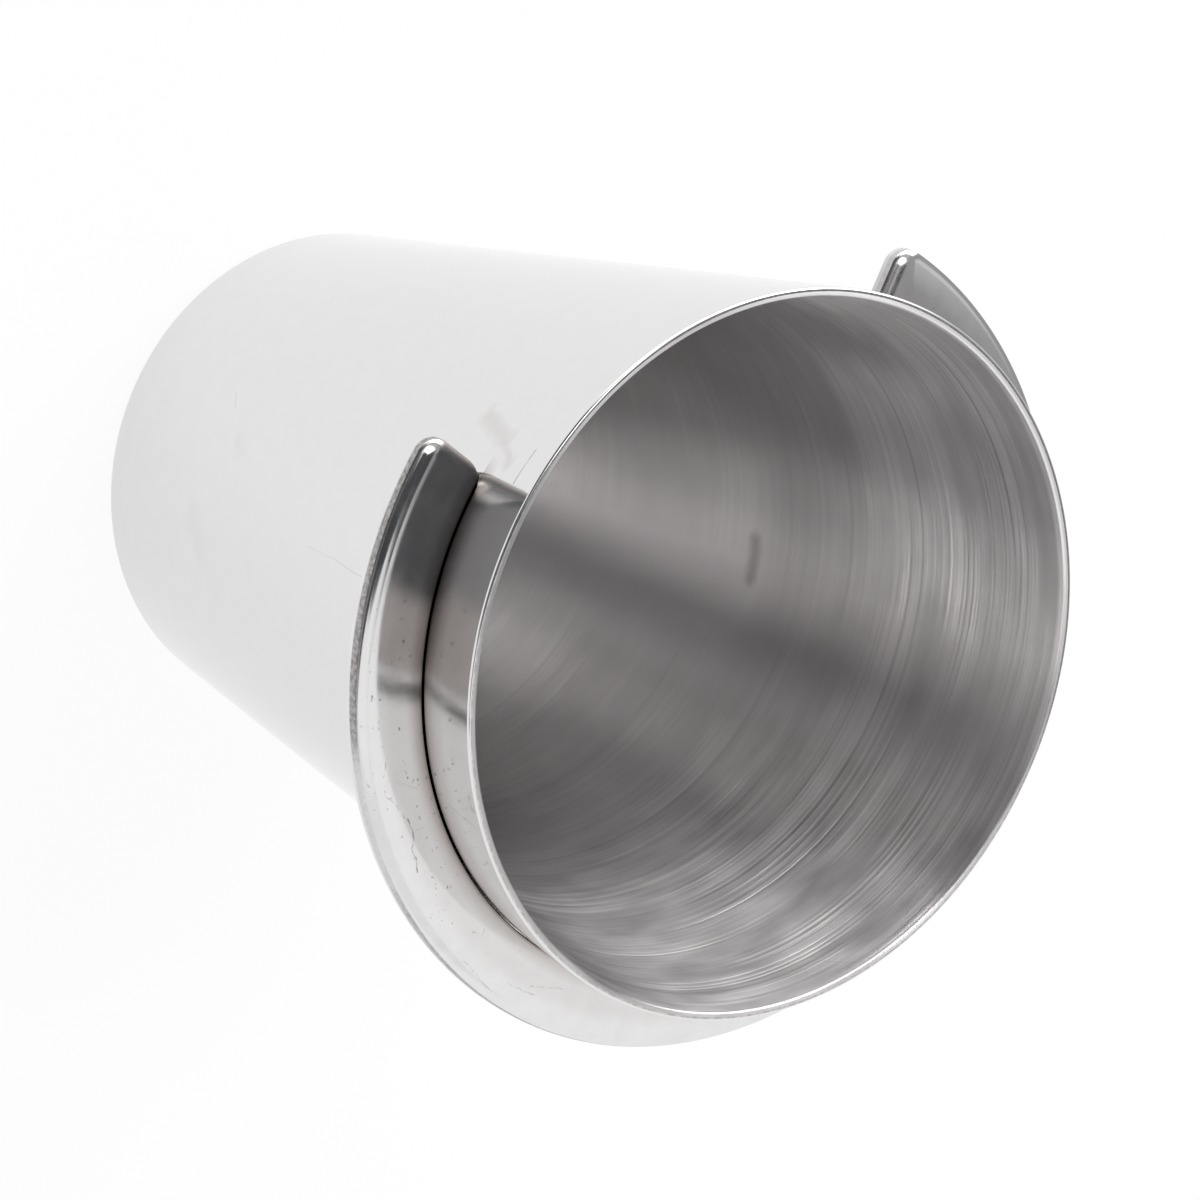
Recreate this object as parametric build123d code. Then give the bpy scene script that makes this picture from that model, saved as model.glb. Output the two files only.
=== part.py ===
from build123d import *
import math
import os

# A tapered cup drawn from sheet steel, with a split collar brazed round it a little below the mouth.
# The origin is the centre of the closed end. +Z points to the mouth, and +X points through the
# middle of the opening in the collar. Lengths are in millimetres and angles in degrees.

# Cup
mouth_diameter = 58.0
closed_end_diameter = 40.7
cup_height = 67.2
wall = 0.7
closed_end_corner_radius = 2.0
lip_edge_radius = 0.2

# Collar: its width is measured on the face towards the mouth, from the bore to the rim
collar_width = 5.6
collar_thickness = 2.1
collar_below_mouth = 7.45
collar_opening_angle = 83.8
braze_gap = 0.05
bore_edge_break = 0.2

# Rounding of the collar's two tips, seen along the cup's axis, and the turn of each tip's end
# from the radial direction, which leaves the tip longest at the rim
tip_outer_radius = 1.7
tip_inner_radius = 2.2
tip_to_wall_angle = 42.0
tip_end_slant = 2.5

# Rounding of the collar's rim on the side of the mouth and on the side of the closed end
collar_front_radius = 0.9
collar_back_radius = 0.5

# Largest share of a wall's thickness, or of the collar's width, that one rounding takes
rounding_share = 0.45

# Places that follow from the sizes above
half_taper = math.atan2((mouth_diameter - closed_end_diameter) / 2, cup_height)
wall_across = wall / math.cos(half_taper)
collar_front_z = cup_height - collar_below_mouth
collar_back_z = collar_front_z - collar_thickness


def cup_radius(height):
    """Outside radius of the tapered wall at a height above the closed end."""
    return closed_end_diameter / 2 + height * math.tan(half_taper)


def bore_radius(height):
    """Radius of the collar's tapered bore, which clears the cup by the braze gap."""
    return cup_radius(height) + braze_gap


collar_radius = bore_radius(collar_front_z) + collar_width


def within(radius, thickness):
    """A rounding's radius, kept to its share of the thickness that it is cut in."""
    return min(radius, rounding_share * thickness)


def round_corner(section, corner, radius):
    """Rounds the corner of a flat section that lies nearest to a point."""
    return fillet(section.vertices().sort_by_distance(corner)[0], radius)


def turned(section):
    """Turns a section, drawn as radius and height, once round the cup's axis."""
    return revolve(Plane.XZ * section, Axis.Z)


def make_drawn_cup():
    """One drawn shell: flat closed end, rounded corner, straight taper and a trimmed lip."""
    outer_corner = (closed_end_diameter / 2, 0)
    outer_lip = (mouth_diameter / 2, cup_height)
    inner_lip = (mouth_diameter / 2 - wall_across, cup_height)
    inner_corner = (cup_radius(wall) - wall_across, wall)
    section = make_face(
        Polyline((0, 0), outer_corner, outer_lip, inner_lip, inner_corner, (0, wall), close=True)
    )
    section = round_corner(section, outer_corner, closed_end_corner_radius)
    section = round_corner(section, inner_corner, closed_end_corner_radius - wall)
    section = round_corner(section, outer_lip, within(lip_edge_radius, wall))
    section = round_corner(section, inner_lip, within(lip_edge_radius, wall))
    return turned(section)


def collar_plan():
    """Flat outline of the split collar: a ring without one sector, with rounded tips.

    The ring starts a little inside the bore, so that each tip's inner rounding
    meets the cup's wall at an angle and doesn't run out along it. The sector's
    two sides cross the rim at the opening's angle, and meet behind the axis.
    """
    outer_rounding = within(tip_outer_radius, collar_width)
    inner_rounding = within(tip_inner_radius, collar_width)
    lead_in = inner_rounding * (1 - math.cos(math.radians(tip_to_wall_angle)))
    inner_radius = bore_radius(collar_back_z) - lead_in
    half_opening = math.radians(collar_opening_angle / 2)
    side_slope = math.tan(half_opening - math.radians(tip_end_slant))
    rim_corner_x = collar_radius * math.cos(half_opening)
    rim_corner_y = collar_radius * math.sin(half_opening)
    sector_tip_x = rim_corner_x - rim_corner_y / side_slope
    sector_depth = 2 * collar_radius
    sector_half_width = sector_depth * side_slope
    sector = make_face(
        Polyline(
            (sector_tip_x, 0),
            (sector_tip_x + sector_depth, -sector_half_width),
            (sector_tip_x + sector_depth, sector_half_width),
            close=True,
        )
    )
    plan = Circle(collar_radius) - Circle(inner_radius) - sector
    for side in (1, -1):
        for radius, rounding in ((collar_radius, outer_rounding), (inner_radius, inner_rounding)):
            corner = (radius * math.cos(half_opening), side * radius * math.sin(half_opening))
            plan = round_corner(plan, corner, rounding)
    return plan


def bore_cutter():
    """Tapered plug that opens the collar's bore and breaks the bore's two edges."""
    low = collar_back_z
    high = collar_front_z
    edge = within(bore_edge_break, collar_thickness)
    section = make_face(
        Polyline(
            (0, low),
            (bore_radius(low) + edge, low),
            (bore_radius(low + edge), low + edge),
            (bore_radius(high - edge), high - edge),
            (bore_radius(high) + edge, high),
            (0, high),
            close=True,
        )
    )
    return turned(section)


def rim_edges(collar, height):
    """Edges round the rim and the tips of a flat face of the collar, without the bore's edge."""
    middle_radius = bore_radius(height) + collar_width / 2
    found = []
    for edge in collar.edges().filter_by_position(Axis.Z, height, height):
        middle = edge.position_at(0.5)
        centred = edge.geom_type == GeomType.CIRCLE and (
            math.hypot(edge.arc_center.X, edge.arc_center.Y) < bore_edge_break
        )
        if centred and math.hypot(middle.X, middle.Y) < middle_radius:
            continue
        found.append(edge)
    return found


def make_split_collar():
    """Flat C-shaped plate with a tapered bore, rounded tips and a rounded rim."""
    plate = Pos(0, 0, collar_back_z) * extrude(collar_plan(), collar_thickness)
    collar = plate - bore_cutter()
    front_edges = rim_edges(collar, collar_front_z)
    collar = fillet(front_edges, within(collar_front_radius, collar_thickness))
    back_edges = rim_edges(collar, collar_back_z)
    collar = fillet(back_edges, within(collar_back_radius, collar_thickness))
    return collar


nodes = {
    "drawn_cup": make_drawn_cup(),
    "split_collar": make_split_collar(),
}

os.makedirs("parts", exist_ok=True)
for name, solid in nodes.items():
    export_step(solid, f"parts/{name}.step")
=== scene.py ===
import math

import bpy
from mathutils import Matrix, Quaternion, Vector


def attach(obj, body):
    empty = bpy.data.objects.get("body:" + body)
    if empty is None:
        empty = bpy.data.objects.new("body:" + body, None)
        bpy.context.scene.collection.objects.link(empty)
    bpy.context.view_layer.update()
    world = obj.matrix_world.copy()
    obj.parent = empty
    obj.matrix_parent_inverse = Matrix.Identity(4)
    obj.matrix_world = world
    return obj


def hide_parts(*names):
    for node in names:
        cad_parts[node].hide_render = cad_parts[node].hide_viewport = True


# A tapered cup drawn from stainless sheet, polished outside and turned inside, with a polished
# split collar brazed round it below the mouth. The cup stands on its closed end and the camera
# looks down into it. Lengths are in millimetres until they are multiplied by MM, and angles are
# in degrees. Azimuth is counted from +X, the middle of the collar's opening, towards +Y.

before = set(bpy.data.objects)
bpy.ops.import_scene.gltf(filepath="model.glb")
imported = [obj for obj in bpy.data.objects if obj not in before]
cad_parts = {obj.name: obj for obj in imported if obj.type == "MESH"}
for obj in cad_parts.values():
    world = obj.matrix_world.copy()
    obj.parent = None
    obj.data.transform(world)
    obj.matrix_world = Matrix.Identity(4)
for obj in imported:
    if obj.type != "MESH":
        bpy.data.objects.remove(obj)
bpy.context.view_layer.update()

MM = 0.001
MM_PER_METRE = 1000.0

# Cup
CLOSED_END_RADIUS = 20.35
MOUTH_RADIUS = 29.0
CUP_HEIGHT = 67.2
WALL = 0.7
CLOSED_END_CORNER = 2.0
LIP_EDGE = 0.2
TAPER = (MOUTH_RADIUS - CLOSED_END_RADIUS) / CUP_HEIGHT
WALL_ACROSS = WALL * math.hypot(1.0, TAPER)

# Collar
COLLAR_BELOW_MOUTH = 7.45
COLLAR_THICKNESS = 2.1
COLLAR_FRONT = CUP_HEIGHT - COLLAR_BELOW_MOUTH
COLLAR_BACK = COLLAR_FRONT - COLLAR_THICKNESS
COLLAR_WIDTH = 5.6
BRAZE_GAP = 0.05
FRONT_ROUNDING = 0.9
BACK_ROUNDING = 0.5
HALF_OPENING = 41.9
TIP_SLANT = 2.5
TIP_OUTER_ROUNDING = 1.7
TIP_INNER_ROUNDING = 2.2
TIP_TO_WALL = 42.0

# The bore's edges are broken by less than the solid's are, so that the seam shows as thin as it is
BORE_EDGE = 0.08

# The collar is buffed over its edge: the face's normals lean out by the first angle at the start of
# the rounding, by the second more across it, and only turn down to the rim at its very end
FACE_LEAN = 5.6
EDGE_LEAN = 25.0
EDGE_TURN_POWER = 6


def cup_radius(height):
    """Outside radius of the cup's tapered wall."""
    return CLOSED_END_RADIUS + height * TAPER


def bore_radius(height):
    """Radius of the collar's tapered bore between its two broken edges."""
    return cup_radius(height) + BRAZE_GAP


COLLAR_RADIUS = bore_radius(COLLAR_FRONT) + COLLAR_WIDTH


# Meshes: both pieces have the solids' form, with finer facets so that their highlights run clean


def spread(first, last, count):
    """Evenly spaced values from the first to the last."""
    return [first + (last - first) * i / (count - 1) for i in range(count)]


def direction(angle):
    """Unit vector in a plane, at an angle in radians."""
    return Vector((math.cos(angle), math.sin(angle)))


class Skin:
    """Points and faces of one piece, with a normal for each corner of each face."""

    def __init__(self):
        self.points = []
        self.faces = []
        self.normals = []

    def row(self, points):
        """Adds a row of points, and returns their numbers."""
        first = len(self.points)
        self.points.extend(points)
        return list(range(first, len(self.points)))

    def strip(self, row, next_row, normals, next_normals):
        """Joins two rows of as many points by quads, or by triangles where two points are one."""
        for i in range(len(row) - 1):
            corners = (
                (row[i], normals[i]),
                (row[i + 1], normals[i + 1]),
                (next_row[i + 1], next_normals[i + 1]),
                (next_row[i], next_normals[i]),
            )
            kept = []
            for number, normal in corners:
                if number not in [other for other, _ in kept]:
                    kept.append((number, normal))
            if len(kept) > 2:
                self.faces.append([number for number, _ in kept])
                self.normals.extend(normal for _, normal in kept)

    def piece(self, name, replaced, slot):
        """Makes the object, which stands for a CAD node and rides with it."""
        mesh = bpy.data.meshes.new(name)
        mesh.from_pydata([tuple(value * MM for value in p) for p in self.points], [], self.faces)
        mesh.shade_smooth()
        mesh.normals_split_custom_set(self.normals)
        made = bpy.data.objects.new(name, mesh)
        bpy.context.scene.collection.objects.link(made)
        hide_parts(replaced)
        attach(made, "root")
        return made


def rounded_section(corners, steps):
    """Points and normals along a section whose corners are rounded, from one end to the other.

    Each corner is its radius, height and rounding. The solid lies on the left of the travel.
    """
    stations = []
    for i, (x, y, rounding) in enumerate(corners):
        corner = Vector((x, y))
        if rounding == 0.0:
            near = corners[i + 1] if i == 0 else corners[i - 1]
            along = Vector(near[:2]) - corner if i == 0 else corner - Vector(near[:2])
            stations.append((corner, Vector((along.y, -along.x)).normalized()))
            continue
        back = (Vector(corners[i - 1][:2]) - corner).normalized()
        ahead = (Vector(corners[i + 1][:2]) - corner).normalized()
        half = back.angle(ahead) / 2
        centre = corner + (back + ahead).normalized() * rounding / math.sin(half)
        convex = back.x * ahead.y - back.y * ahead.x < 0
        sign = 1.0 if convex else -1.0
        start = (corner + back * rounding / math.tan(half) - centre).normalized()
        sweep = (math.pi - 2 * half) * sign
        first = math.atan2(start.y, start.x)
        for angle in spread(first, first + sweep, steps):
            out = direction(angle)
            stations.append((centre + out * rounding, out * sign))
    return stations


CUP_SEGMENTS = 480
CUP_ROUNDING_STEPS = 13


def build_cup():
    """One drawn shell: flat closed end, rounded corner, straight taper and a trimmed lip."""
    inner_corner_radius = cup_radius(WALL) - WALL_ACROSS
    corners = (
        (0.0, 0.0, 0.0),
        (CLOSED_END_RADIUS, 0.0, CLOSED_END_CORNER),
        (MOUTH_RADIUS, CUP_HEIGHT, LIP_EDGE),
        (MOUTH_RADIUS - WALL_ACROSS, CUP_HEIGHT, LIP_EDGE),
        (inner_corner_radius, WALL, CLOSED_END_CORNER - WALL),
        (0.0, WALL, 0.0),
    )
    skin = Skin()
    turns = [direction(angle) for angle in spread(0.0, math.tau, CUP_SEGMENTS + 1)]
    rows = []
    for place, normal in rounded_section(corners, CUP_ROUNDING_STEPS):
        if place.x == 0.0:
            row = skin.row([(0.0, 0.0, place.y)]) * len(turns)
        else:
            row = skin.row([(place.x * t.x, place.x * t.y, place.y) for t in turns[:-1]])
            row.append(row[0])
        rows.append((row, [(normal.x * t.x, normal.x * t.y, normal.y) for t in turns]))
    for (row, normals), (next_row, next_normals) in zip(rows, rows[1:]):
        skin.strip(row, next_row, normals, next_normals)
    return skin.piece("cup_shell", "drawn_cup", "cup_steel")


INNER_TIP_STEPS = 16
TIP_END_STEPS = 5
OUTER_TIP_STEPS = 20
RIM_STEPS = 200
FRONT_STEPS = 16
BACK_STEPS = 9
TIP_SHARE_OF_BORE = 5.0


def tip_centre(rounding, distance):
    """Centre of one of the tip's roundings, at a distance from the cup's axis."""
    opening = math.radians(HALF_OPENING)
    end = opening - math.radians(TIP_SLANT)
    away = direction(end - math.pi / 2)
    corner = direction(opening) * COLLAR_RADIUS - away * rounding
    along = direction(end)
    reach = corner.dot(along)
    return corner + along * (math.sqrt(reach ** 2 - corner.length_squared + distance ** 2) - reach)


def half_outline(inset, start_radius):
    """Half of the collar's outline, moved in by the inset: points, and their normals in plan.

    It starts on the bore, at the start radius, and runs round the tip and along the rim.
    """
    opening = math.radians(HALF_OPENING)
    end_normal = opening - math.radians(TIP_SLANT) - math.pi / 2
    lead_in = TIP_INNER_ROUNDING * (1 - math.cos(math.radians(TIP_TO_WALL)))
    inner = tip_centre(TIP_INNER_ROUNDING, bore_radius(COLLAR_BACK) - lead_in + TIP_INNER_ROUNDING)
    outer = tip_centre(TIP_OUTER_ROUNDING, COLLAR_RADIUS - TIP_OUTER_ROUNDING)
    inner_radius = TIP_INNER_ROUNDING - inset
    outer_radius = TIP_OUTER_ROUNDING - inset
    across = start_radius ** 2 - inner.length_squared - inner_radius ** 2
    spread_angle = math.acos(across / (2 * inner_radius * inner.length))
    first = math.atan2(inner.y, inner.x) - spread_angle
    found = []
    for angle in spread(first, end_normal, INNER_TIP_STEPS):
        found.append((inner + direction(angle) * inner_radius, direction(angle)))
    straight_start = inner + direction(end_normal) * inner_radius
    straight_end = outer + direction(end_normal) * outer_radius
    for share in spread(0.0, 1.0, TIP_END_STEPS)[1:-1]:
        found.append((straight_start.lerp(straight_end, share), direction(end_normal)))
    rim_start = math.atan2(outer.y, outer.x)
    for angle in spread(end_normal, rim_start, OUTER_TIP_STEPS):
        found.append((outer + direction(angle) * outer_radius, direction(angle)))
    for angle in spread(rim_start, math.pi, RIM_STEPS)[1:]:
        found.append((direction(angle) * (COLLAR_RADIUS - inset), direction(angle)))
    return found


def mirrored(half):
    """The half outline followed by its mirror image, back to the bore."""
    flip = Vector((1.0, -1.0))
    return half + [(point * flip, normal * flip) for point, normal in reversed(half[:-1])]


def bore_level_radius(height):
    """Radius of the bore at a height, wider at its two broken edges."""
    front_excess = height - (COLLAR_FRONT - BORE_EDGE)
    back_excess = (COLLAR_BACK + BORE_EDGE) - height
    excess = max(front_excess, back_excess, 0.0)
    level = min(max(height, COLLAR_BACK + BORE_EDGE), COLLAR_FRONT - BORE_EDGE)
    end = COLLAR_FRONT if front_excess > 0 else COLLAR_BACK
    widest = bore_radius(end) + BORE_EDGE
    return bore_radius(level) + (widest - bore_radius(level)) * excess / BORE_EDGE


def half_bore(half, start_radius):
    """Points on the bore that face the half outline's, from where the two meet."""
    start = math.atan2(half[0][0].y, half[0][0].x)
    tip_points = len(half) - RIM_STEPS
    tip_share = math.radians(TIP_SHARE_OF_BORE)
    rim_start = math.atan2(half[tip_points][0].y, half[tip_points][0].x)
    found = []
    for i, (point, _) in enumerate(half):
        if i <= tip_points:
            angle = start + tip_share * i / tip_points
        else:
            share = (math.atan2(point.y, point.x) - rim_start) / (math.pi - rim_start)
            angle = start + tip_share + (math.pi - start - tip_share) * share
        found.append((direction(angle) * start_radius, -direction(angle)))
    return found


def collar_levels():
    """Levels down the collar's rim: inset, height and the normal's lean from straight up."""
    lean = math.radians(FACE_LEAN)
    slow_turn = math.radians(EDGE_LEAN)
    front_break = math.acos(1 - BORE_EDGE / FRONT_ROUNDING)
    front_turns = sorted(spread(0.0, math.pi / 2, FRONT_STEPS) + [front_break])
    levels = []
    for turn in front_turns:
        inset = FRONT_ROUNDING * (1 - math.sin(turn))
        height = COLLAR_FRONT - FRONT_ROUNDING * (1 - math.cos(turn))
        share = turn / (math.pi / 2)
        last_turn = (math.pi / 2 - lean - slow_turn) * share ** EDGE_TURN_POWER
        levels.append((inset, height, lean + slow_turn * share + last_turn))
    back_break = math.pi - math.acos(1 - BORE_EDGE / BACK_ROUNDING)
    back_turns = sorted(spread(math.pi / 2, math.pi, BACK_STEPS) + [back_break])
    for turn in back_turns:
        inset = BACK_ROUNDING * (1 - math.sin(turn))
        height = COLLAR_BACK + BACK_ROUNDING * (1 + math.cos(turn))
        levels.append((inset, height, turn))
    return levels


def build_collar():
    """Flat C-shaped plate with a tapered bore, rounded tips and a rounded rim."""
    skin = Skin()
    up = (0.0, 0.0, 1.0)
    down = (0.0, 0.0, -1.0)
    rim_rows = []
    bore_rows = []
    for inset, height, lean in collar_levels():
        start_radius = bore_level_radius(height)
        half = half_outline(inset, start_radius)
        outline = mirrored(half)
        bore = mirrored(half_bore(half, start_radius))
        rim = skin.row([(point.x, point.y, height) for point, _ in outline])
        inside = skin.row([(point.x, point.y, height) for point, _ in bore[1:-1]])
        side = math.sin(lean)
        rim_normals = [(side * n.x, side * n.y, math.cos(lean)) for _, n in outline]
        bore_normals = [(n.x, n.y, TAPER) for _, n in bore]
        rim_rows.append((rim, rim_normals))
        bore_rows.append(([rim[0]] + inside + [rim[-1]], bore_normals))
    for (row, normals), (next_row, next_normals) in zip(rim_rows, rim_rows[1:]):
        skin.strip(next_row, row, next_normals, normals)
    for (row, normals), (next_row, next_normals) in zip(bore_rows, bore_rows[1:]):
        skin.strip(row, next_row, normals, next_normals)
    count = len(rim_rows[0][0])
    skin.strip(rim_rows[0][0], bore_rows[0][0], rim_rows[0][1], [up] * count)
    skin.strip(bore_rows[-1][0], rim_rows[-1][0], [down] * count, [down] * count)
    return skin.piece("collar_plate", "split_collar", "collar_steel")


# Node trees: one helper adds a node, and everything below is built with it. A colour mix takes
# its share on input 0 and its two colours on inputs 6 and 7

SMOOTH = {"interpolation_type": "SMOOTHSTEP"}
BLEND = {"data_type": "RGBA", "output": "Result"}


def linear(hex_colour, level=1.0):
    """Turns an sRGB hex colour into linear red, green, blue and alpha, times a level."""
    values = []
    for start in (1, 3, 5):
        value = int(hex_colour[start:start + 2], 16) / 255
        low = value / 12.92
        high = ((value + 0.055) / 1.055) ** 2.4
        values.append(level * (low if value <= 0.04045 else high))
    return (*values, 1.0)


def add(tree, kind, *values, output=0, **settings):
    """Adds a node with its settings, and returns the output that is asked for, if it has any.

    Values go to the inputs in order, or by name where a dictionary gives them. A socket is
    linked, and anything else is set on the input.
    """
    node = tree.nodes.new("ShaderNode" + kind)
    for name, value in settings.items():
        setattr(node, name, value)
    for position, value in enumerate(values):
        named = value if isinstance(value, dict) else {position: value}
        for key, part in named.items():
            if isinstance(part, bpy.types.NodeSocket):
                tree.links.new(part, node.inputs[key])
            else:
                node.inputs[key].default_value = part
    shown = [socket for socket in node.outputs if socket.enabled]
    if isinstance(output, str):
        return next(socket for socket in shown if socket.name == output)
    return shown[output] if shown else None


def new_material(name):
    """Empty node material, and its tree."""
    material = bpy.data.materials.new(name)
    material.use_nodes = True
    material.node_tree.nodes.clear()
    return material, material.node_tree


# Studio: a tent of white cloth round the cup, open at the top and at azimuths round the camera's.
# Lamps stand beside that opening, from 280 on, and more hang above them. Beyond its other side a
# leaning post holds a grey panel. Azimuths go up from the tent's seam, past 360

WHITE_CLOTH = "#FFFFFF"
PANEL_CLOTH = "#B3ADAC"
DARK_ROOM = "#5A5B5D"
DARK_TOP = "#444547"
POST_COLOUR = "#5C5A59"
TENT_SEAM = 170.0
BAND_EDGE = 2.5

# The post leans: its azimuth shifts by the lean for each degree of height. The azimuths below
# are those at no height, of the strip that it takes in all and of the edges within it
POST_EDGE = 1.0
POST_LEAN = 0.66
POST_REACH = (60, 78)
POST_HEIGHT = (35, 65)
PANEL_END = 70.0
HEM_START = 70.8
HEM_END = 72.3
POST_START = 73.3
HEM_LIGHT = 1.1


def light_round(tree, round_share, areas):
    """Light of one band of the tent. An area is its first azimuth, its light and its edge's width.

    The areas follow each other round the circle from the tent's seam, where the last one ends.
    """
    band = add(tree, "ValToRGB", round_share)
    stops = band.node.color_ramp.elements
    last_light = areas[-1][1]
    stops[0].position, stops[0].color = 0.0, last_light
    stops[1].position, stops[1].color = 1.0, last_light
    for azimuth, light, edge in areas:
        for place, colour in ((azimuth - edge / 2, last_light), (azimuth + edge / 2, light)):
            stops.new((place - TENT_SEAM) % 360 / 360).color = colour
        last_light = light
    return band


def lay_post(tree, sky):
    """Lays the panel's far end, its lit hem and the post over the sky, all leaning."""
    azimuth = add(
        tree, "Math", sky["elevation"], -POST_LEAN, sky["azimuth"], operation="MULTIPLY_ADD"
    )
    low, high = POST_REACH
    across = add(tree, "MapRange", azimuth, low, high, 0.0, 1.0)
    strip = add(tree, "ValToRGB", across)
    stops = strip.node.color_ramp.elements
    panel, hem, post = linear(PANEL_CLOTH), linear(WHITE_CLOTH, HEM_LIGHT), linear(POST_COLOUR)
    stops[0].color = panel
    stops[1].color = post
    for place, colour in ((PANEL_END, panel), (HEM_START, hem), (HEM_END, hem), (POST_START, post)):
        stops.new((place - low) / (high - low)).color = colour
    share = 1.0
    for angle, (start, end) in ((azimuth, POST_REACH), (sky["elevation"], POST_HEIGHT)):
        half = (end - start) / 2
        away = add(tree, "Math", angle, start + half, operation="SUBTRACT")
        distance = add(tree, "Math", away, operation="ABSOLUTE")
        limits = (half + POST_EDGE / 2, half - POST_EDGE / 2, 0.0, 1.0)
        inside = add(tree, "MapRange", distance, *limits, **SMOOTH)
        share = add(tree, "Math", share, inside, operation="MULTIPLY")
    sky["colour"] = add(tree, "Mix", {0: share, 6: sky["colour"], 7: strip}, **BLEND)


def tent_bands():
    """Bands of the tent from the floor up: where each ends, and its areas round the circle."""
    white, soft, patch, half_lit, dim, pale = [
        linear(WHITE_CLOTH, level) for level in (1.0, 0.9, 0.7, 0.5, 0.36, 0.3)
    ]
    lamp, low_lamp, near_lamp = [linear(WHITE_CLOTH, level) for level in (3.6, 3.9, 5.6)]
    panel, dark, darkest = linear(PANEL_CLOTH), linear(DARK_ROOM), linear(DARK_TOP)
    return (
        (22, (
            (208, white, 2), (232, dim, 3), (280, lamp, 12), (345, low_lamp, 8), (367, dark, 12),
            (409, white, 6),
        )),
        (35, (
            (208, white, 2), (232, dim, 3), (280, near_lamp, 12), (312, lamp, 12),
            (345, dark, 12), (437, white, 4),
        )),
        (49, (
            (208, white, 2), (232, dim, 3), (250, patch, 7), (261, dim, 6), (280, near_lamp, 12),
            (312, lamp, 12), (345, dark, 12), (436, panel, 5), (462, white, 3),
        )),
        (54, (
            (208, white, 2), (232, dim, 4), (280, half_lit, 8), (345, dark, 12), (436, panel, 5),
            (470, soft, 3),
        )),
        (65, (
            (208, white, 2), (232, dim, 4), (280, half_lit, 8), (345, dark, 12),
            (387, pale, 12), (436, panel, 5), (470, soft, 3),
        )),
        (80, (
            (208, soft, 10), (222, darkest, 5), (270, lamp, 12), (345, white, 12),
            (387, darkest, 12), (482, white, 12),
        )),
        (90, (
            (208, darkest, 12),
        )),
    )


def build_sky():
    """World light of the tent, by direction seen from the cup."""
    world = bpy.data.worlds.new("studio_tent")
    world.use_nodes = True
    bpy.context.scene.world = world
    tree = world.node_tree
    tree.nodes.clear()
    seen = add(tree, "TexCoord", output="Generated")
    unit = add(tree, "VectorMath", seen, operation="NORMALIZE")
    x = add(tree, "SeparateXYZ", unit)
    y, z = x.node.outputs["Y"], x.node.outputs["Z"]
    azimuth = add(tree, "Math", add(tree, "Math", y, x, operation="ARCTAN2"), operation="DEGREES")
    elevation = add(tree, "Math", add(tree, "Math", z, operation="ARCSINE"), operation="DEGREES")
    from_seam = add(tree, "Math", azimuth, -TENT_SEAM, operation="ADD")
    round_share = add(
        tree, "Math", add(tree, "Math", from_seam, 360.0, operation="DIVIDE"), operation="FRACT"
    )
    bands = tent_bands()
    sky = {"azimuth": azimuth, "elevation": elevation}
    sky["colour"] = light_round(tree, round_share, bands[0][1])
    for (end, _), (_, areas) in zip(bands, bands[1:]):
        limits = (end - BAND_EDGE / 2, end + BAND_EDGE / 2)
        above = add(tree, "MapRange", elevation, *limits, 0.0, 1.0, **SMOOTH)
        band = light_round(tree, round_share, areas)
        sky["colour"] = add(tree, "Mix", {0: above, 6: sky["colour"], 7: band}, **BLEND)
    lay_post(tree, sky)
    add(tree, "OutputWorld", add(tree, "Background", sky["colour"], 1.0))


# Floor: plain pale paper

FLOOR_SIDE = 8000.0
FLOOR_DROP = 0.02
FLOOR_COLOUR = "#F8F8F8"

# Share of the object's shadow that shows, to the camera and in the metal
SHADOW_SEEN = 0.07
SHADOW_IN_METAL = 0.2


def build_floor():
    """Pale floor. It shows white to the camera and to metal, and keeps the object's shadow."""
    half = FLOOR_SIDE / 2 * MM
    corners = [(-half, -half, 0), (half, -half, 0), (half, half, 0), (-half, half, 0)]
    mesh = bpy.data.meshes.new("floor")
    mesh.from_pydata(corners, [], [(0, 1, 2, 3)])
    floor = bpy.data.objects.new("floor", mesh)
    floor.location.z = -FLOOR_DROP * MM
    bpy.context.scene.collection.objects.link(floor)
    material, tree = new_material("floor_paper")
    camera_ray = add(tree, "LightPath", output="Is Camera Ray")
    paths = camera_ray.node.outputs
    in_metal = add(
        tree, "Math", paths["Is Glossy Ray"], paths["Is Transmission Ray"], operation="MAXIMUM"
    )
    in_metal = add(tree, "Math", in_metal, 1.0 - SHADOW_IN_METAL, operation="MULTIPLY")
    glow = add(tree, "Math", camera_ray, 1.0 - SHADOW_SEEN, in_metal, operation="MULTIPLY_ADD")
    paper = add(tree, "BsdfDiffuse", linear(FLOOR_COLOUR))
    white = add(tree, "Emission", linear(WHITE_CLOTH), 1.0)
    add(tree, "OutputMaterial", add(tree, "MixShader", glow, paper, white))
    mesh.materials.append(material)


# Finishes

STEEL = "#E4E3E3"
STEEL_PAINTED_DARK_REFLECTION = "#8C8988"
STEEL_STAIN_AND_SHADE = "#B9B2AF"
STEEL_PITTED = "#6E6866"
STEEL_FILED = "#7D7A78"
BRAZE_AND_SHADE_DARK = "#6A6664"
TURNED_LIGHT = "#F6F4F4"
TURNED_DARK = "#A9A7A7"

# The filed ends and the dull band on the edge are rougher than the plate by the extra
POLISHED_ROUGHNESS = 0.09
PLATE_ROUGHNESS = 0.1
UNBUFFED_EXTRA = 0.25
TURNED_ROUGHNESS = 0.31

# Most of a noise texture's values lie in this range, round this middle
NOISE_RANGE = (0.3, 0.7)
NOISE_MIDDLE = 0.5


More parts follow.
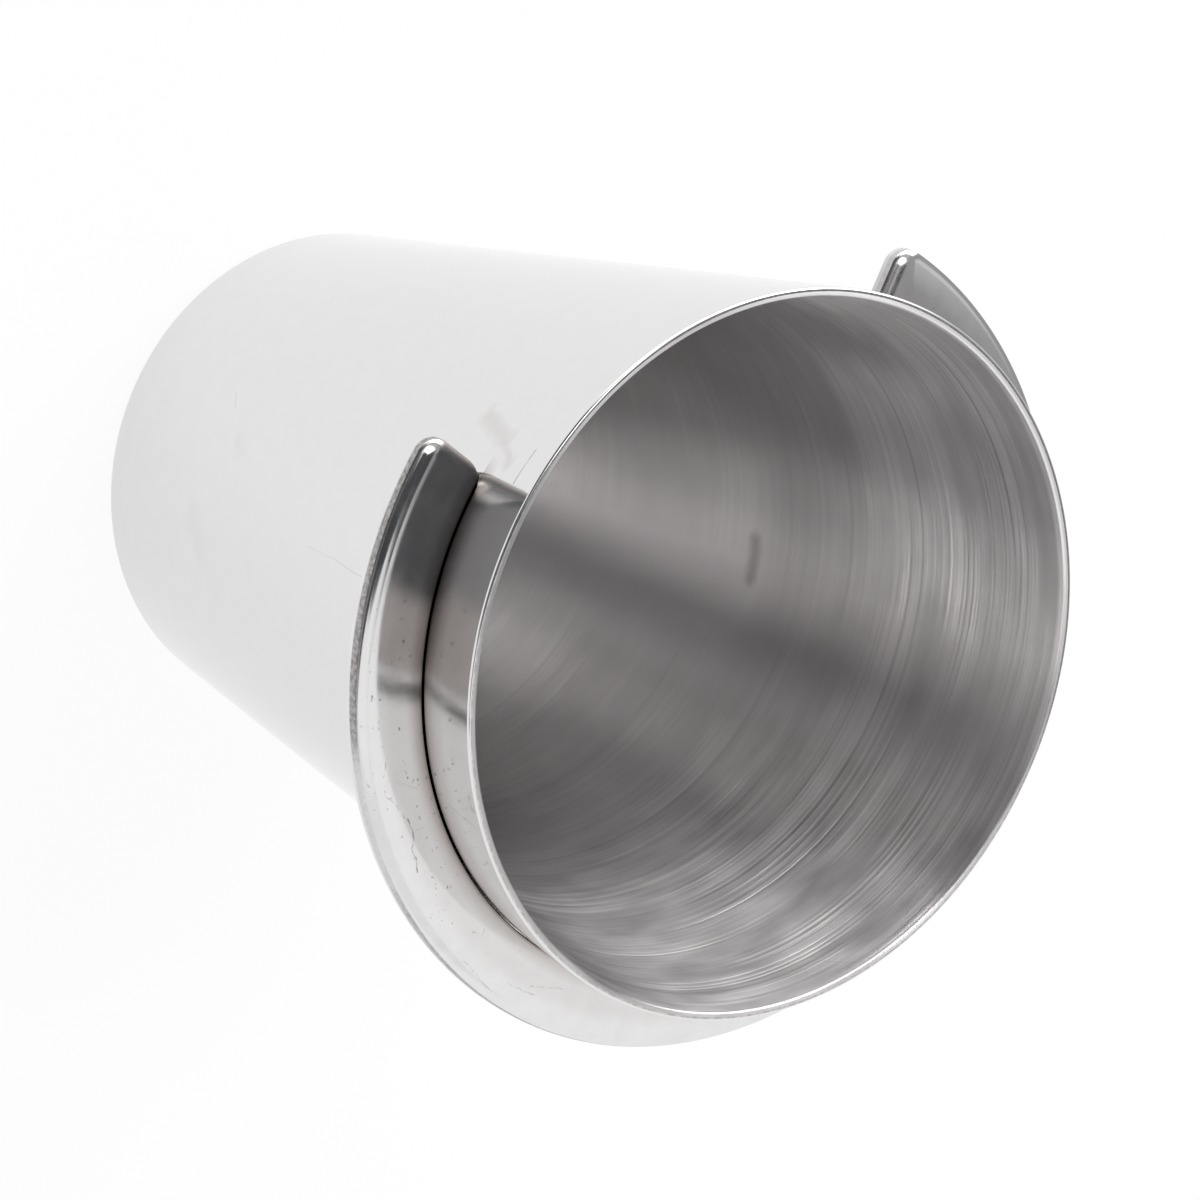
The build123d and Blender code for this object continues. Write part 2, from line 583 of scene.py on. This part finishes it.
def object_place(tree):
    """Where a point lies on the object in millimetres: sockets that the finishes share."""
    object_point = add(tree, "TexCoord", output="Object")
    point = add(tree, "VectorMath", {0: object_point, "Scale": MM_PER_METRE}, operation="SCALE")
    flat = add(tree, "VectorMath", point, (1, 1, 0), operation="MULTIPLY")
    around = add(tree, "VectorMath", flat, operation="NORMALIZE")
    return {
        "point": point,
        "radius": add(tree, "VectorMath", flat, operation="LENGTH", output="Value"),
        "around": around,
        "height": add(tree, "SeparateXYZ", point, output="Z"),
    }


def on_collar(azimuth, radius):
    """Point on the collar's face."""
    return Vector((*(direction(math.radians(azimuth)) * radius), COLLAR_FRONT))


def on_wall(azimuth, height):
    """Point on the cup's outside."""
    return Vector((*(direction(math.radians(azimuth)) * cup_radius(height)), height))


def on_inside(azimuth, height):
    """Point on the cup's inside."""
    radius = cup_radius(height) - WALL_ACROSS
    return Vector((*(direction(math.radians(azimuth)) * radius), height))


def wobbled(tree, place, pitch, reach):
    """The point, pushed about by noise, so that a mark drawn there has an uneven edge."""
    inputs = {"Vector": place["point"], "Scale": 1.0 / pitch, "Detail": 2.0}
    noise = add(tree, "TexNoise", inputs, output="Color")
    centred = add(tree, "VectorMath", noise, (NOISE_MIDDLE,) * 3, operation="SUBTRACT")
    shift = add(tree, "VectorMath", {0: centred, "Scale": 2 * reach}, operation="SCALE")
    return add(tree, "VectorMath", place["point"], shift, operation="ADD")


def mark_share(tree, where, marks, place_of):
    """How strongly a point is marked, from 0 to 1.

    A mark is a line through its points, with its width in millimetres and its depth.
    """
    share = 0.0
    for points, width, depth in marks:
        places = [place_of(*point) for point in points]
        for start, end in zip(places, places[1:]):
            run = end - start
            offset = add(tree, "VectorMath", where, start, operation="SUBTRACT")
            per_length = run / run.length_squared
            along = add(
                tree, "VectorMath", offset, per_length, operation="DOT_PRODUCT", output="Value"
            )
            held = add(tree, "Clamp", along)
            nearest = add(tree, "VectorMath", {0: run, "Scale": held}, operation="SCALE")
            away = add(tree, "VectorMath", offset, nearest, operation="DISTANCE", output="Value")
            near = add(tree, "MapRange", away, 0.0, width / 2, depth, 0.0, **SMOOTH)
            share = add(tree, "Math", share, near, operation="MAXIMUM")
    return share


def turning_marks(tree, place, pitch, run, seed, detail=1.0):
    """Noise drawn out round the axis: the pitch is a line's width and the run its length.

    The seed is how far up its own pattern a noise starts, so that no two are alike.
    """
    reach = MOUTH_RADIUS / run
    spread_out = add(tree, "VectorMath", {0: place["around"], "Scale": reach}, operation="SCALE")
    rise = add(tree, "Math", place["height"], 1.0 / pitch, seed, operation="MULTIPLY_ADD")
    lifted = add(tree, "CombineXYZ", {"Z": rise})
    where = add(tree, "VectorMath", spread_out, lifted, operation="ADD")
    return add(tree, "TexNoise", {"Vector": where, "Scale": 1.0, "Detail": detail})


def facing_share(tree, place, middle, far, near):
    """1 where the azimuth is within the near angle of the middle one, and 0 past the far one."""
    facing = (*direction(math.radians(middle)), 0.0)
    turn = add(
        tree, "VectorMath", place["around"], facing, operation="DOT_PRODUCT", output="Value"
    )
    limits = [math.cos(math.radians(angle)) for angle in (far, near)]
    return add(tree, "MapRange", turn, *limits, 0.0, 1.0, **SMOOTH)


def inside_share(tree, place):
    """1 on the cup's inside and 0 on its outside, split at the middle of the wall."""
    outside_radius = add(
        tree, "Math", place["height"], TAPER, CLOSED_END_RADIUS, operation="MULTIPLY_ADD"
    )
    depth = add(tree, "Math", outside_radius, place["radius"], operation="SUBTRACT")
    past_wall = add(tree, "Math", depth, WALL / 2, operation="GREATER_THAN")
    above_end = add(tree, "Math", place["height"], WALL / 2, operation="GREATER_THAN")
    return add(tree, "Math", past_wall, above_end, operation="MULTIPLY")


# Fine clouding of buffed steel: its size, how much it lightens and darkens the plate and the
# sheet, and how much it smooths and roughens them
CLOUD_SIZE = 1.8
PLATE_CLOUDING = 0.03
SHEET_CLOUDING = 0.01
CLOUD_ROUGHENING = (-0.02, 0.03)


def polished_steel(tree, place, colour, roughness, clouding):
    """Buffed stainless steel: it mirrors the studio a little softly, and is finely clouded."""
    inputs = {"Vector": place["point"], "Scale": 1.0 / CLOUD_SIZE, "Detail": 4.0}
    clouds = add(tree, "TexNoise", inputs)
    haze = add(tree, "MapRange", clouds, *NOISE_RANGE, 1.0 - clouding, 1.0 + clouding)
    tinted = add(tree, "VectorMath", {0: colour, "Scale": haze}, operation="SCALE")
    rubbed = add(tree, "MapRange", clouds, *NOISE_RANGE, *CLOUD_ROUGHENING)
    inputs = {
        "Base Color": tinted,
        "Metallic": 1.0,
        "Roughness": add(tree, "Math", roughness, rubbed, operation="ADD"),
    }
    return add(tree, "BsdfPrincipled", inputs)


# Cup, inside: steel turned with an abrasive

# How far apart the marks lie, and how far one runs round the cup
LINE_PITCH = 0.3
LINE_RUN = 60.0
RING_PITCH = 1.0
RING_RUN = 75.0
PATCH_PITCH = 4.0
PATCH_RUN = 14.0
BLOTCH_PITCH = 1.8
BLOTCH_RUN = 5.0
GROOVE_DEPTH = 0.12

# The marks are weak below the first height and full above the second
MARKS_FADE = (34.0, 50.0)
WEAK_MARKS = 0.25

# Lines and rings are full in the patches, which set in between two values of their noise
PATCH_SETS_IN = (0.38, 0.62)
MARKS_BETWEEN_PATCHES = 0.15

# One side is rougher: gain of the lines and rings, and of the blotches, elsewhere and there
ROUGH_SIDE = {"middle": 170, "far": 60, "near": 30}
STREAK_GAINS = (0.5, 0.9)
BLOTCH_GAINS = (0.35, 1.3)

# Share of the clouds and of the painted rings and reflection zones in the lightness, and the sum
# that gives the full colour
CLOUD_GAIN = 0.45
PAINTED_REFLECTION_GAIN = 0.5
FULL_SHADE = 0.3

# Rings that stand out as painted highlight and shade, on the sides where they catch the light:
# height, width, middle azimuth, reach to each side, and lightness
RINGS_OF_PAINTED_SHEEN = (
    (67.0, 1.3, 280, 75, 1.0),
    (63.0, 0.45, 170, 38, 0.3),
    (62.5, 0.4, 290, 30, 0.42),
    (61.9, 0.35, 290, 30, -0.42),
    (54.0, 0.4, 292, 28, 0.2),
    (51.8, 0.45, 275, 36, -0.36),
    (57.2, 0.4, 168, 30, -0.18),
    (39.5, 0.5, 200, 50, 0.14),
    (38.5, 0.5, 200, 50, -0.14),
    (28.0, 0.6, 202, 32, -0.14),
)

# Painted reflection and light: lighter and darker zones: middle azimuth, reach, lowest and highest
# height, and lightness
PAINTED_REFLECTION_ZONES = (
    (172, 36, 45, 56, 0.2),
    (165, 42, 60, 75, -0.14),
    (168, 40, 26, 43, -0.18),
    (234, 17, 0, 75, 0.3),
    (252, 24, -5, 34, 0.5),
    (212, 30, -5, 30, 0.12),
    (203, 20, -5, 17, 0.3),
    (278, 28, 46, 57, 0.45),
)
PAINTED_REFLECTION_EDGE = 3

# One dark smudge, as a line by azimuth and height, with its width and depth
SMUDGE = ((((244.5, 32.8), (252.5, 32.8)), 2.2, 1.0),)
SMUDGE_DEPTH = 0.45


def painted_inside_light(tree, place):
    """Sum of the painted highlights and shade of the rings and of the painted reflection zones
    inside: above 0 where lighter than the rest.
    """
    total = 0.0
    for height, width, middle, reach, lightness in RINGS_OF_PAINTED_SHEEN:
        away = add(tree, "Math", place["height"], height, operation="SUBTRACT")
        distance = add(tree, "Math", away, operation="ABSOLUTE")
        line = add(tree, "MapRange", distance, 0.0, width / 2, lightness, 0.0, **SMOOTH)
        window = facing_share(tree, place, middle, reach, reach / 2)
        total = add(tree, "Math", line, window, total, operation="MULTIPLY_ADD")
    for middle, reach, low, high, lightness in PAINTED_REFLECTION_ZONES:
        half = (high - low) / 2
        away = add(tree, "Math", place["height"], low + half, operation="SUBTRACT")
        distance = add(tree, "Math", away, operation="ABSOLUTE")
        limits = (half + PAINTED_REFLECTION_EDGE, half - PAINTED_REFLECTION_EDGE)
        level = add(tree, "MapRange", distance, *limits, 0.0, lightness, **SMOOTH)
        window = facing_share(tree, place, middle, reach, reach / 2)
        total = add(tree, "Math", level, window, total, operation="MULTIPLY_ADD")
    return total


def turned_steel(tree, place):
    """Stainless steel turned with a fine abrasive: its grooves spread light along the wall.

    Real grooves are a few hundredths of a millimetre wide, too fine to show, so the lines that
    are drawn are the coarser ones that catch the light, 0.3 to 1 mm apart.
    """
    patches = turning_marks(tree, place, PATCH_PITCH, PATCH_RUN, seed=50.0)
    lines = turning_marks(tree, place, LINE_PITCH, LINE_RUN, seed=800.0)
    rings = turning_marks(tree, place, RING_PITCH, RING_RUN, seed=300.0, detail=2.0)
    blotches = turning_marks(tree, place, BLOTCH_PITCH, BLOTCH_RUN, seed=110.0)
    rough_side = facing_share(tree, place, **ROUGH_SIDE)

    marked = add(tree, "MapRange", place["height"], *MARKS_FADE, WEAK_MARKS, 1.0, **SMOOTH)
    limits = (*PATCH_SETS_IN, MARKS_BETWEEN_PATCHES, 1.0)
    in_patches = add(tree, "MapRange", patches, *limits)
    strength = add(tree, "Math", marked, in_patches, operation="MULTIPLY")
    gain = add(tree, "MapRange", rough_side, 0.0, 1.0, *STREAK_GAINS)
    strength = add(tree, "Math", strength, gain, operation="MULTIPLY")
    both = add(tree, "Math", lines, rings, operation="ADD")
    streak = add(tree, "Math", both, -2 * NOISE_MIDDLE, operation="ADD")
    streak = add(tree, "Math", streak, strength, operation="MULTIPLY")

    cloud = add(tree, "Math", patches, -NOISE_MIDDLE, operation="ADD")
    blotch = add(tree, "Math", blotches, -NOISE_MIDDLE, operation="ADD")
    gain = add(tree, "MapRange", rough_side, 0.0, 1.0, *BLOTCH_GAINS)
    cloud = add(tree, "Math", blotch, gain, cloud, operation="MULTIPLY_ADD")
    cloud = add(tree, "Math", cloud, marked, operation="MULTIPLY")

    shade = add(tree, "Math", cloud, CLOUD_GAIN, streak, operation="MULTIPLY_ADD")
    # The inside's colour carries painted reflection and light: the zones and the rings' highlight
    # and shade, over the marks' own tone
    painted_light = painted_inside_light(tree, place)
    shade = add(tree, "Math", painted_light, PAINTED_REFLECTION_GAIN, shade, operation="MULTIPLY_ADD")
    lightness = add(tree, "MapRange", shade, -FULL_SHADE, FULL_SHADE, 0.0, 1.0)
    dark, light = linear(TURNED_DARK), linear(TURNED_LIGHT)
    colour = add(tree, "Mix", {0: lightness, 6: dark, 7: light}, **BLEND)
    smudged = mark_share(tree, wobbled(tree, place, pitch=1.5, reach=0.4), SMUDGE, on_inside)
    smudged = add(tree, "Math", smudged, SMUDGE_DEPTH, operation="MULTIPLY")
    colour = add(tree, "Mix", {0: smudged, 6: colour, 7: linear(STEEL_PITTED)}, **BLEND)
    grooves = {"Height": streak, "Strength": 1.0, "Distance": GROOVE_DEPTH * MM}
    inputs = {
        "Base Color": colour,
        "Metallic": 1.0,
        "Roughness": TURNED_ROUGHNESS,
        "Anisotropic": 1.0,
        "Anisotropic Rotation": 0.25,
        "Tangent": add(tree, "Tangent", direction_type="RADIAL", axis="Z"),
        "Normal": add(tree, "Bump", grooves),
    }
    return add(tree, "BsdfPrincipled", inputs)


# Cup, outside: buffed, and stained over the seam where the collar was brazed on, with painted shade
# along the seam

# Scratches and stains: each is its points by azimuth and height, its width and its depth
WALL_SCRATCHES = (
    (((37, 64.6), (43, 64.4)), 0.25, 0.55),
    (((65.3, 38.5), (65.3, 43)), 0.2, 0.08),
    (((65.3, 43), (66, 50)), 0.22, 0.16),
    (((95.5, 62), (96.5, 66)), 0.15, 0.4),
    (((44, 18.5), (47, 19.5)), 0.3, 0.12),
)
WALL_STAINS = (
    (((33.5, 55.5), (36, 58), (37, 60.5)), 2.4, 0.3),
    (((38.5, 61), (40, 62.5)), 1.6, 0.3),
    (((71, 17.5), (77, 19.5)), 4.0, 0.09),
    (((53, 22.5), (55, 23.5)), 2.2, 0.08),
)

# The brazing's stain and painted shade darken both pieces this far from the seam, and the wall this
# strongly. On the wall they set in over these angles from the middle of the collar's tip
STAIN_AND_SHADE_REACH = 1.9
SEAM_STAIN_AND_SHADE = 0.75
STAIN_AND_SHADE_SETS_IN = (-3, 2)

# Line on the lip: how far in it lies as a share of the wall, the reach of its core and of its
# edge to each side, and its depth
LIP_LINE_IN = 0.42
LIP_LINE_CORE = 0.04
LIP_LINE_EDGE = 0.14
LIP_LINE_DEPTH = 0.55

# Grains that break the line: their size, the noise values that they lie between, and the share
# of the line that is left between them
LIP_GRAIN = 0.5
LIP_GRAIN_SETS_IN = (0.35, 0.6)
LIP_LINE_LEFT = 0.55


def lip_line(tree, place):
    """Share of the broken dark line along the middle of the lip."""
    line_radius = MOUTH_RADIUS - LIP_LINE_IN * WALL
    away = add(tree, "Math", place["radius"], line_radius, operation="SUBTRACT")
    distance = add(tree, "Math", away, operation="ABSOLUTE")
    limits = (LIP_LINE_CORE, LIP_LINE_EDGE)
    line = add(tree, "MapRange", distance, *limits, LIP_LINE_DEPTH, 0.0, **SMOOTH)
    at_lip = add(tree, "Math", place["height"], CUP_HEIGHT - LIP_EDGE, operation="GREATER_THAN")
    inputs = {"Vector": place["point"], "Scale": 1.0 / LIP_GRAIN, "Detail": 2.0}
    grains = add(tree, "TexNoise", inputs)
    broken = add(tree, "MapRange", grains, *LIP_GRAIN_SETS_IN, LIP_LINE_LEFT, 1.0)
    line = add(tree, "Math", line, at_lip, operation="MULTIPLY")
    return add(tree, "Math", line, broken, operation="MULTIPLY")


def wall_stain_and_shade(tree, place):
    """Share of the brazing's stain with painted shade over the seam, and of the stains in spots,
    which colours the wall.
    """
    above_seam = add(tree, "Math", place["height"], COLLAR_FRONT, operation="SUBTRACT")
    stain_and_shade = add(tree, "MapRange", above_seam, 0.0, STAIN_AND_SHADE_REACH, SEAM_STAIN_AND_SHADE, 0.0, **SMOOTH)
    on_seam = add(tree, "Math", above_seam, 0.0, operation="GREATER_THAN")
    stain_and_shade = add(tree, "Math", stain_and_shade, on_seam, operation="MULTIPLY")
    ahead = add(tree, "SeparateXYZ", place["around"])
    limits = [math.cos(math.radians(HALF_OPENING + turn)) for turn in STAIN_AND_SHADE_SETS_IN]
    along_collar = add(tree, "MapRange", ahead, *limits, 0.0, 1.0, **SMOOTH)
    stain_and_shade = add(tree, "Math", stain_and_shade, along_collar, operation="MULTIPLY")
    spots = mark_share(tree, wobbled(tree, place, pitch=2.0, reach=0.9), WALL_STAINS, on_wall)
    return add(tree, "Math", stain_and_shade, spots, operation="MAXIMUM")


def cup_material():
    """Drawn stainless sheet: buffed outside, turned inside with painted reflection, and stained by
    the brazing with painted shade at the seam.
    """
    material, tree = new_material("drawn_stainless_steel")
    place = object_place(tree)
    stain_and_shade = wall_stain_and_shade(tree, place)
    colour = add(tree, "Mix", {0: stain_and_shade, 6: linear(STEEL), 7: linear(STEEL_STAIN_AND_SHADE)}, **BLEND)
    wavering = wobbled(tree, place, pitch=2.0, reach=0.1)
    scratches = mark_share(tree, wavering, WALL_SCRATCHES, on_wall)
    colour = add(tree, "Mix", {0: scratches, 6: colour, 7: linear(STEEL_PITTED)}, **BLEND)
    lip = lip_line(tree, place)
    colour = add(tree, "Mix", {0: lip, 6: colour, 7: linear(STEEL_PITTED)}, **BLEND)
    polished = polished_steel(tree, place, colour, POLISHED_ROUGHNESS, SHEET_CLOUDING)
    turned = turned_steel(tree, place)
    shader = add(tree, "MixShader", inside_share(tree, place), polished, turned)
    add(tree, "OutputMaterial", shader)
    return material


# Collar: buffed face, a rough band of painted dark reflection on the rounded edge, filed ends, and
# stained by the brazing with painted shade at the seam

# Pits, veins and scratches: each is its points by azimuth and radius, its width and its depth
COLLAR_MARKS = (
    (((86.5, 31.5), (89.5, 32.1), (91.7, 32.25), (94, 31.5), (97, 30.9)), 0.17, 0.55),
    (
        ((97, 30.9), (98.5, 30.7), (100.2, 30.9), (101.2, 31.4), (103, 31.3), (104.8, 31.7)),
        0.2, 0.8,
    ),
    (((99, 30.5), (99.2, 29.6)), 0.16, 0.4),
    (((129.5, 31.75), (135, 31.5)), 0.18, 0.3),
    (((133.5, 31), (139, 30.1)), 0.18, 0.35),
    (((121, 32.6), (128, 33.07)), 0.18, 0.35),
    (((81, 32), (82.2, 32)), 0.25, 0.5),
    (((70.5, 33), (73, 33.05)), 0.2, 0.5),
    (((77.5, 32.6), (78, 32.6)), 0.35, 0.8),
    (((91.4, 29.6), (91.7, 29.7)), 0.25, 0.5),
    (((92.4, 30.4), (92.6, 30.5)), 0.25, 0.5),
    (((101.8, 33.9), (102.3, 33.9)), 0.35, 0.6),
    (((121, 30.5), (120.5, 29.8)), 0.2, 0.4),
)

# Grains of the marks: their size, the noise values in which they set in, and the share of a mark
# that is left between them
MARK_GRAIN = 0.5
MARK_GRAIN_SETS_IN = (0.35, 0.55)
MARK_LEFT = 0.35

# Specks: their size and that of a group, the noise values in which both set in, and their depth
SPECK_SIZE = 0.42
SPECK_SETS_IN = (0.66, 0.74)
SPECK_GROUP = 3.0
GROUP_SETS_IN = (0.42, 0.56)
SPECK_DEPTH = 0.75

# Share of the specks that is left between the groups and away from the handled side, and below
# the face, which they fade out to between two depths
HANDLED_SIDE = {"middle": 86, "far": 40, "near": 26}
STRAY_SPECKS = 0.15
SPECKS_BELOW_FACE = 0.1
SPECKS_FADE = (0.35, 0.05)

# Grainy band on the rounded edge, rougher and with painted dark reflection in its colour: its
# depths below the face, its grains' size, the noise values in which they set in, and the share
# between them
DULL_BAND_FOOT = 1.35
DULL_BAND_TOP = 0.5
DULL_BAND_FADE = 0.1
DULL_GRAIN = 1 / 3
DULL_GRAIN_SETS_IN = (0.3, 0.65)
DULL_BETWEEN_GRAINS = 0.55

# The band is full at the near tip, and has these shares away from the far side and on it
NEAR_TIP = {"middle": 58, "far": 34, "near": 22}
FAR_SIDE = {"middle": 142, "far": 42, "near": 30}
FAR_SIDE_SHARES = (0.35, 0.8)

# The ends are filed over this depth, but not over their outer corner, and less at -Y
FILED_DEPTH = 1.1
FILED_FADE = 0.6
SECOND_END = 0.25

# Painted shade in the seam's crease, with the braze's dark colour, darkens the metal next to the
# seam; the stain, with painted shade, colours it further out and faintly beyond
BRAZE_AND_SHADE_CORE = 0.1
BRAZE_AND_SHADE_EDGE = 0.32
BRAZE_AND_SHADE_DEPTH = 0.45
FAINT_STAIN_AND_SHADE = 0.22
FAINT_STAIN_AND_SHADE_ENDS = (2.6, 4.0)


def speck_share(tree, place):
    """Small dark pits of uneven form, in loose groups on the side where the collar is handled."""
    inputs = {"Vector": place["point"], "Scale": 1.0 / SPECK_SIZE, "Detail": 2.0}
    spots = add(tree, "MapRange", add(tree, "TexNoise", inputs), *SPECK_SETS_IN, 0.0, 1.0)
    inputs = {"Vector": place["point"], "Scale": 1.0 / SPECK_GROUP, "Detail": 1.0}
    limits = (*GROUP_SETS_IN, STRAY_SPECKS, 1.0)
    grouped = add(tree, "MapRange", add(tree, "TexNoise", inputs), *limits)
    spots = add(tree, "Math", spots, grouped, operation="MULTIPLY")
    handled = facing_share(tree, place, **HANDLED_SIDE)
    handled = add(tree, "MapRange", handled, 0.0, 1.0, STRAY_SPECKS, 1.0)
    spots = add(tree, "Math", spots, handled, operation="MULTIPLY")
    limits = [COLLAR_FRONT - depth for depth in SPECKS_FADE]
    on_face = add(tree, "MapRange", place["height"], *limits, SPECKS_BELOW_FACE, 1.0)
    return add(tree, "Math", spots, on_face, operation="MULTIPLY")


def dull_band_painted_dark(tree, place):
    """Share of the grainy band on the collar's rounded edge: rougher, with painted dark reflection
    in its colour.
    """
    band = 1.0
    for depth, way in ((DULL_BAND_FOOT, DULL_BAND_FADE), (DULL_BAND_TOP, -DULL_BAND_FADE)):
        end = COLLAR_FRONT - depth
        within = add(tree, "MapRange", place["height"], end - way, end + way, 0, 1, **SMOOTH)
        band = add(tree, "Math", band, within, operation="MULTIPLY")
    inputs = {"Vector": place["point"], "Scale": 1.0 / DULL_GRAIN, "Detail": 3.0}
    limits = (*DULL_GRAIN_SETS_IN, DULL_BETWEEN_GRAINS, 1.0)
    grain = add(tree, "MapRange", add(tree, "TexNoise", inputs), *limits)
    near_tip = facing_share(tree, place, **NEAR_TIP)
    far_side = facing_share(tree, place, **FAR_SIDE)
    far_side = add(tree, "MapRange", far_side, 0.0, 1.0, *FAR_SIDE_SHARES)
    strength = add(tree, "Math", near_tip, far_side, operation="MAXIMUM")
    grain = add(tree, "Math", grain, strength, operation="MULTIPLY")
    return add(tree, "Math", band, grain, operation="MULTIPLY")


def filed_share(tree, place):
    """Share of the collar's two ends, which are filed and not buffed, the one at -Y less so."""
    opening = math.radians(HALF_OPENING)
    away = direction(opening - math.radians(TIP_SLANT) - math.pi / 2)
    corner = direction(opening) * COLLAR_RADIUS
    one_side = add(tree, "VectorMath", place["point"], operation="ABSOLUTE")
    beyond = add(
        tree, "VectorMath", one_side, (away.x, away.y, 0.0), operation="DOT_PRODUCT", output="Value"
    )
    depth = add(tree, "Math", corner.dot(away), beyond, operation="SUBTRACT")
    filed = add(tree, "MapRange", depth, FILED_DEPTH, 0.5 * FILED_DEPTH, 0.0, 1.0, **SMOOTH)
    rim = COLLAR_RADIUS - FRONT_ROUNDING
    within = add(tree, "MapRange", place["radius"], rim, rim - FILED_FADE, 0.0, 1.0, **SMOOTH)
    x = add(tree, "SeparateXYZ", place["point"])
    ahead = add(tree, "Math", x, 0.0, operation="GREATER_THAN")
    filed = add(tree, "Math", filed, ahead, operation="MULTIPLY")
    by_end = add(tree, "MapRange", x.node.outputs["Y"], -1.0, 1.0, SECOND_END, 1.0)
    filed = add(tree, "Math", filed, by_end, operation="MULTIPLY")
    return add(tree, "Math", filed, within, operation="MULTIPLY")


def pitted_share(tree, place):
    """Share of the veins, pits and scratches, broken into grains, and of the specks."""
    pits = mark_share(tree, wobbled(tree, place, pitch=0.7, reach=0.24), COLLAR_MARKS, on_collar)
    grains = add(tree, "TexNoise", {"Vector": place["point"], "Scale": 1.0 / MARK_GRAIN})
    broken = add(tree, "MapRange", grains, *MARK_GRAIN_SETS_IN, MARK_LEFT, 1.0)
    pits = add(tree, "Math", pits, broken, operation="MULTIPLY")
    specks = add(tree, "Math", speck_share(tree, place), SPECK_DEPTH, operation="MULTIPLY")
    return add(tree, "Math", pits, specks, operation="MAXIMUM")


def collar_material():
    """Stainless plate: buffed face, painted dark reflection on a rough band of its edge, filed
    ends, and stained by the brazing with painted shade at the seam.
    """
    material, tree = new_material("polished_stainless_plate")
    place = object_place(tree)
    seam_radius = bore_radius(COLLAR_FRONT)
    from_seam = add(tree, "Math", place["radius"], seam_radius, operation="SUBTRACT")
    # The stain with painted shade: darker towards the seam, and faint further out
    stain_and_shade = add(tree, "MapRange", from_seam, 0.0, STAIN_AND_SHADE_REACH, 1.0, 0.0)
    faint_stain_and_shade = add(tree, "MapRange", from_seam, *FAINT_STAIN_AND_SHADE_ENDS, FAINT_STAIN_AND_SHADE, 0.0, **SMOOTH)
    stain_and_shade = add(tree, "Math", stain_and_shade, faint_stain_and_shade, operation="MAXIMUM")
    # The dull band: painted dark reflection in the colour, and rougher
    painted_dark_band = dull_band_painted_dark(tree, place)
    pits = pitted_share(tree, place)
    filed = filed_share(tree, place)
    # Next to the seam: painted shade in the crease, with the braze's own dark colour
    limits = (BRAZE_AND_SHADE_CORE, BRAZE_AND_SHADE_EDGE, BRAZE_AND_SHADE_DEPTH, 0.0)
    braze_and_shade = add(tree, "MapRange", from_seam, *limits, **SMOOTH)
    colour = linear(STEEL)
    for share, tone in (
        (stain_and_shade, STEEL_STAIN_AND_SHADE), (painted_dark_band, STEEL_PAINTED_DARK_REFLECTION), (pits, STEEL_PITTED), (filed, STEEL_FILED),
        (braze_and_shade, BRAZE_AND_SHADE_DARK),
    ):
        colour = add(tree, "Mix", {0: share, 6: colour, 7: linear(tone)}, **BLEND)
    roughness = PLATE_ROUGHNESS
    for share in (filed, painted_dark_band):
        roughness = add(tree, "Math", share, UNBUFFED_EXTRA, roughness, operation="MULTIPLY_ADD")
    shader = polished_steel(tree, place, colour, roughness, PLATE_CLOUDING)
    add(tree, "OutputMaterial", shader)
    return material


def dress(piece, material):
    """Gives a piece its finish."""
    piece.data.materials.clear()
    piece.data.materials.append(material)


# Camera: the photograph looks down into the mouth, turned so that the cup seems to lie

CAMERA_AIM = Vector((-2.155, -0.836, 41.621))
CAMERA_DISTANCE = 421.21
CAMERA_AZIMUTH = 141.55
CAMERA_ELEVATION = 50.909
CAMERA_ROLL = 112.594
CAMERA_LENS = 156.942
CAMERA_SENSOR = 36.0
CAMERA_CLIP_METRES = (0.01, 20.0)


def build_camera():
    """Camera at the photograph's place and angle."""
    data = bpy.data.cameras.new("camera")
    camera = bpy.data.objects.new("camera", data)
    bpy.context.scene.collection.objects.link(camera)
    bpy.context.scene.camera = camera
    azimuth = math.radians(CAMERA_AZIMUTH)
    elevation = math.radians(CAMERA_ELEVATION)
    back = Vector((
        math.sin(azimuth) * math.cos(elevation),
        -math.cos(azimuth) * math.cos(elevation),
        math.sin(elevation),
    ))
    roll = Quaternion((0, 0, 1), math.radians(CAMERA_ROLL))
    camera.rotation_mode = "QUATERNION"
    camera.rotation_quaternion = (-back).to_track_quat("-Z", "Y") @ roll
    camera.location = (CAMERA_AIM + back * CAMERA_DISTANCE) * MM
    data.lens = CAMERA_LENS
    data.sensor_width = CAMERA_SENSOR
    data.clip_start, data.clip_end = CAMERA_CLIP_METRES


bpy.context.scene.view_settings.view_transform = "Standard"
build_camera()
build_sky()
build_floor()
dress(build_cup(), cup_material())
dress(build_collar(), collar_material())
